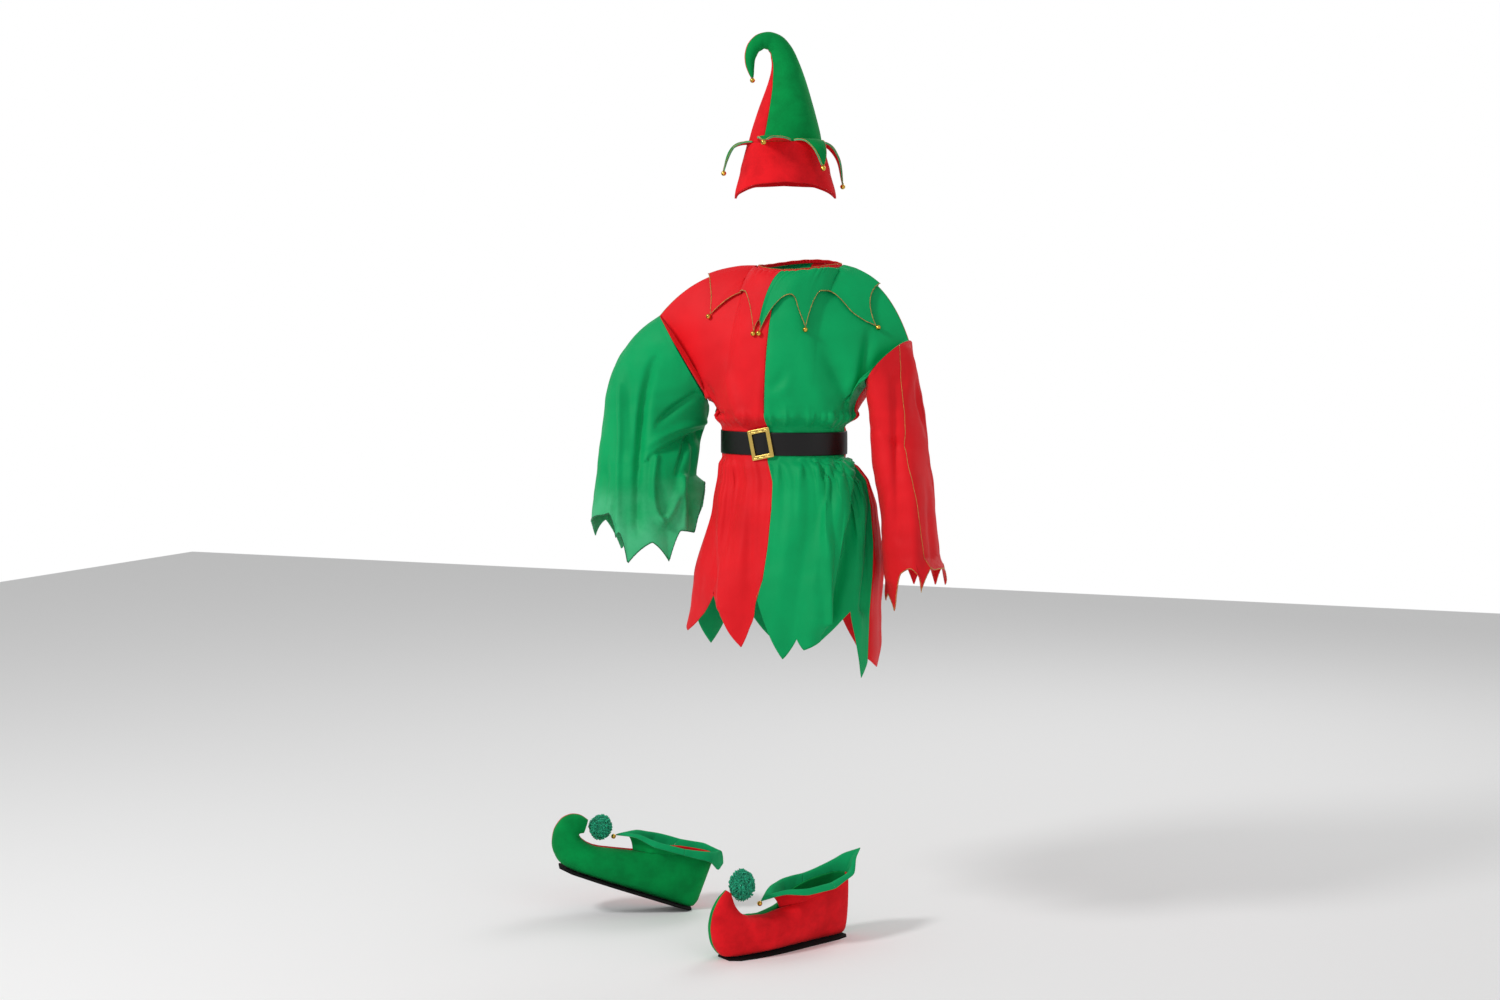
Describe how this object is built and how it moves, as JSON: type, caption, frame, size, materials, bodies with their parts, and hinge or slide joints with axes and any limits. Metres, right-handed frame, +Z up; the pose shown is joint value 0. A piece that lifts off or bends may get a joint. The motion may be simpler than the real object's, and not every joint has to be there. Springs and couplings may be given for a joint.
{
  "type": "elf costume",
  "caption": "Elf costume laid out as worn: curled cone hat with petals, belted tunic in red and green with wide sleeves, zigzag hem and petal collar, and curled shoe covers with pompoms.",
  "frame": {"origin": "middle of the neck opening, where the costume is held by its wearer", "axes": "+Z up, -Y towards the tunic's front, +X towards the wearer's left; the floor is at z = -1.420 m"},
  "size_m": [0.8958, 0.4247, 1.9076],
  "materials": {
    "tunic_red": "smooth polyester satin",
    "tunic_green": "smooth polyester satin",
    "felt_red": "matt velour felt",
    "felt_green": "matt velour felt",
    "pompom": "yarn",
    "belt": "soft gloss imitation leather",
    "sole": "matt",
    "gold": "bright"
  },
  "bodies": {
    "root": {"tunic_front_green": "tunic_green", "tunic_back_red": "tunic_red", "tunic_back_green": "tunic_green", "tunic_front_red": "tunic_red", "sleeve_left_front": "tunic_red", "sleeve_left_back": "tunic_red", "sleeve_right_front": "tunic_green", "sleeve_right_back": "tunic_green", "neck_edge": "tunic_red", "collar_green": "tunic_green", "collar_red": "tunic_red", "belt": "belt", "buckle": "gold", "hat_cone_green": "felt_green", "hat_cone_red": "felt_red", "hat_brim": "felt_red", "hat_petal_1": "felt_green", "hat_petal_2": "felt_green", "hat_petal_3": "felt_green", "hat_petal_4": "felt_green", "hat_petal_5": "felt_green", "hat_petal_6": "felt_green", "shoe_left_near": "felt_red", "shoe_left_far": "felt_green", "shoe_left_sole": "sole", "shoe_left_flap_front": "felt_green", "shoe_left_flap_back": "felt_green", "shoe_left_pompom": "pompom", "shoe_left_bell": "gold", "shoe_right_near": "felt_green", "shoe_right_far": "felt_red", "shoe_right_sole": "sole", "shoe_right_flap_front": "felt_green", "shoe_right_flap_back": "felt_green", "shoe_right_pompom": "pompom", "shoe_right_bell": "gold", "bell_collar_1": "gold", "bell_collar_2": "gold", "bell_collar_3": "gold", "bell_collar_4": "gold", "bell_collar_5": "gold", "bell_collar_6": "gold", "bell_collar_7": "gold", "bell_collar_8": "gold", "bell_collar_9": "gold", "bell_collar_10": "gold", "bell_hat_1": "gold", "bell_hat_2": "gold", "bell_hat_3": "gold", "bell_hat_4": "gold", "bell_hat_5": "gold", "bell_hat_6": "gold", "bell_hat_top": "gold"}
  },
  "joints": []
}
